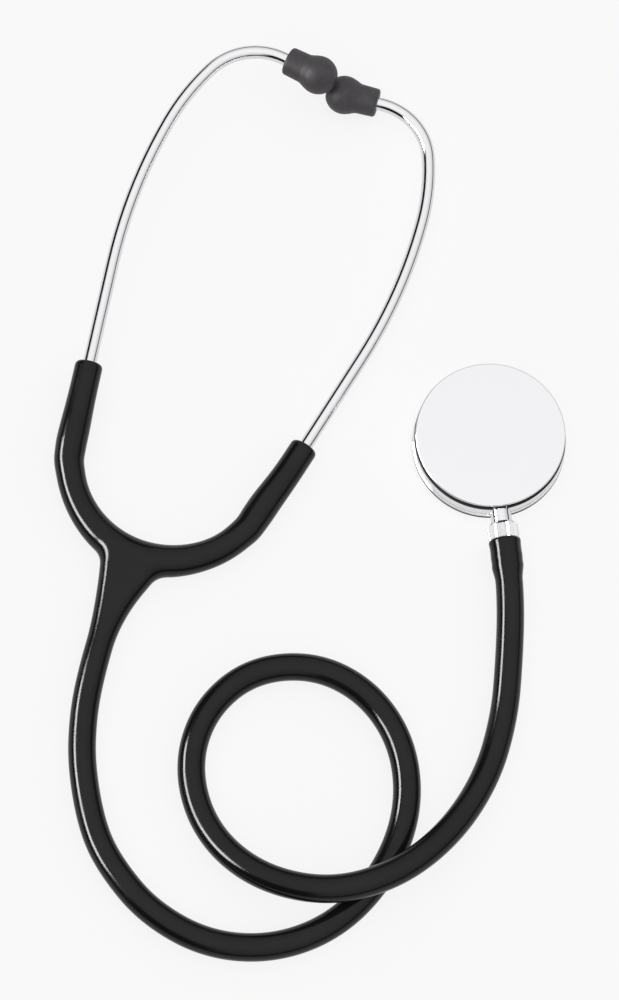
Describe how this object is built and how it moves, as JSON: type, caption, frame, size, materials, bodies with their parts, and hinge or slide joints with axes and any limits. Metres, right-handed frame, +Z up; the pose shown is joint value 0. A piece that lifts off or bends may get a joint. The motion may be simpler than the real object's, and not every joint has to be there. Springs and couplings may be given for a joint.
{
  "type": "stethoscope",
  "caption": "Single-head acoustic stethoscope lying on a table: flat round chest piece, knurled collar, looped black hose, moulded yoke, sprung ear tubes and soft eartips.",
  "frame": {"origin": "centre of the chest piece's ring, on the surface it lies on", "axes": "+Z up from the table; the stem leaves the chest piece along -Y; the headset lies towards -X, with its eartips towards +Y"},
  "size_m": [0.1748, 0.3089, 0.0271],
  "materials": {
    "polished_metal": "polished",
    "satin_metal": "satin",
    "chromed_tube": "polished",
    "nipple_metal": "satin",
    "spring_steel": "satin",
    "hose_vinyl": "gloss",
    "eartip_rubber": "matte",
    "seal_rubber": "matte",
    "diaphragm_sheet": "satin"
  },
  "bodies": {
    "root": {"yoke": "hose_vinyl", "leaf_spring": "spring_steel", "hose": "hose_vinyl", "hose_cuff": "hose_vinyl", "hose_barb": "polished_metal", "knurled_collar": "polished_metal"},
    "chest_piece": {"head_drum": "polished_metal", "head_cover": "satin_metal", "diaphragm": "diaphragm_sheet", "diaphragm_ring": "polished_metal", "diaphragm_gasket": "seal_rubber", "stem": "polished_metal", "stem_seal": "seal_rubber", "stem_clip": "spring_steel"},
    "left_side": {"left_ear_tube": "chromed_tube", "left_spring_clamp": "spring_steel", "left_tip_nipple": "nipple_metal"},
    "right_side": {"right_ear_tube": "chromed_tube", "right_spring_clamp": "spring_steel", "right_tip_nipple": "nipple_metal"},
    "left_tip": {"left_eartip": "eartip_rubber"},
    "right_tip": {"right_eartip": "eartip_rubber"}
  },
  "joints": [
    {"name": "left_spread", "type": "hinge", "parent": "root", "child": "left_side", "pos_m": [-0.13806, -0.00078, 0.00575], "axis": [-0.0291, -0.0537, 0.9981], "range_deg": [0, 30], "stiffness_Nm_per_rad": 1, "springref_deg": -8.59, "deforming": ["yoke", "leaf_spring"]},
    {"name": "right_spread", "type": "hinge", "parent": "root", "child": "right_side", "pos_m": [-0.09159, -0.02598, 0.00511], "axis": [0.0042, 0.0077, -1], "range_deg": [0, 15], "stiffness_Nm_per_rad": 1, "springref_deg": -8.59, "deforming": ["yoke", "leaf_spring"]},
    {"name": "chest_swivel", "type": "hinge", "parent": "root", "child": "chest_piece", "pos_m": [0, -0.0291, 0.0059], "axis": [0, -1, 0], "continuous": true},
    {"name": "left_tip_turn", "type": "hinge", "parent": "left_side", "child": "left_tip", "pos_m": [-0.04063, 0.13312, 0.01579], "axis": [0.8242, -0.5662, -0.0064], "continuous": true},
    {"name": "right_tip_turn", "type": "hinge", "parent": "right_side", "child": "right_tip", "pos_m": [-0.03221, 0.12892, 0.00654], "axis": [-0.9239, 0.3827, -0.0009], "continuous": true}
  ]
}
